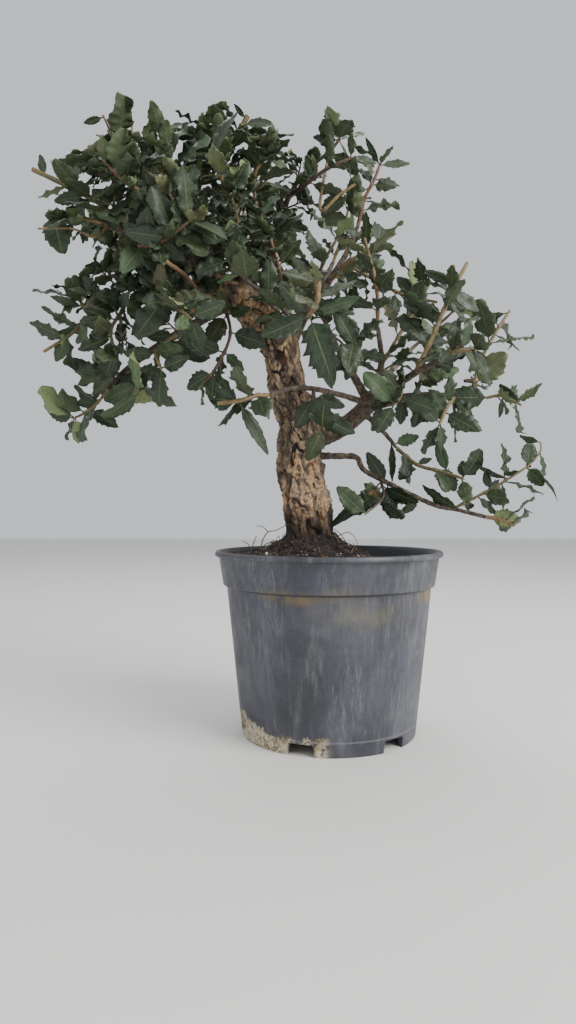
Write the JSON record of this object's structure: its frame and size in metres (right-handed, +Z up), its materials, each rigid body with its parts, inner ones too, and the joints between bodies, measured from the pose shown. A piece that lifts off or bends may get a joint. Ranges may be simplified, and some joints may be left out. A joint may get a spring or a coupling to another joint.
{
  "type": "cork oak bonsai in nursery pot",
  "caption": "Potted cork oak bonsai: corky leaning trunk, spreading limbs and leafy shoots, standing in soil in a round plastic nursery pot.",
  "frame": {"origin": "centre of the pot's base pad, on the surface that the pot stands on", "axes": "+Z up along the pot, the view of the picture looks along +Y, +X to its right"},
  "size_m": [0.4244, 0.2637, 0.5403],
  "materials": {
    "pot": "matte",
    "soil": "matte",
    "bark": "matte",
    "leaf": "satin"
  },
  "bodies": {
    "root": {"pot": "pot", "soil": "soil", "trunk": "bark", "left_high": "leaf", "left_tip": "leaf", "left_front": "leaf", "left_face": "leaf", "left_edge": "leaf", "left_drop": "leaf", "left_under": "leaf", "left_above": "leaf", "low_spray": "leaf", "low_inner": "leaf", "low_back": "leaf", "low_mid": "leaf", "top_far_left": "leaf", "top_left": "leaf", "top_left_back": "leaf", "top_left_out": "leaf", "top_front": "leaf", "top_face": "leaf", "top_stub": "leaf", "top_olive": "leaf", "top_mid": "leaf", "top_right": "leaf", "top_right_low": "leaf", "top_right_in": "leaf", "right_high": "leaf", "right_high_back": "leaf", "cut_a": "leaf", "cut_b": "leaf", "cut_c": "leaf", "cut_d": "leaf", "cut_e": "leaf", "cut_f": "leaf", "cut_g": "leaf", "far_tip": "leaf", "far_under": "leaf", "second_low": "leaf", "low_left_leaf": "leaf", "low_riser": "leaf", "low_tip": "leaf", "front_star": "leaf", "front_upper": "leaf", "front_low": "leaf", "front_drop": "leaf", "low_left_front": "leaf", "heart_front": "leaf", "heart_top": "leaf", "heart_right": "leaf", "heart_back": "leaf", "inner_front": "leaf", "inner_tip": "leaf", "front_right": "leaf", "front_right_low": "leaf", "back_left_out": "leaf", "back_left_up": "leaf", "back_mid_up": "leaf", "back_right_up": "leaf", "back_far_up": "leaf"}
  },
  "joints": []
}
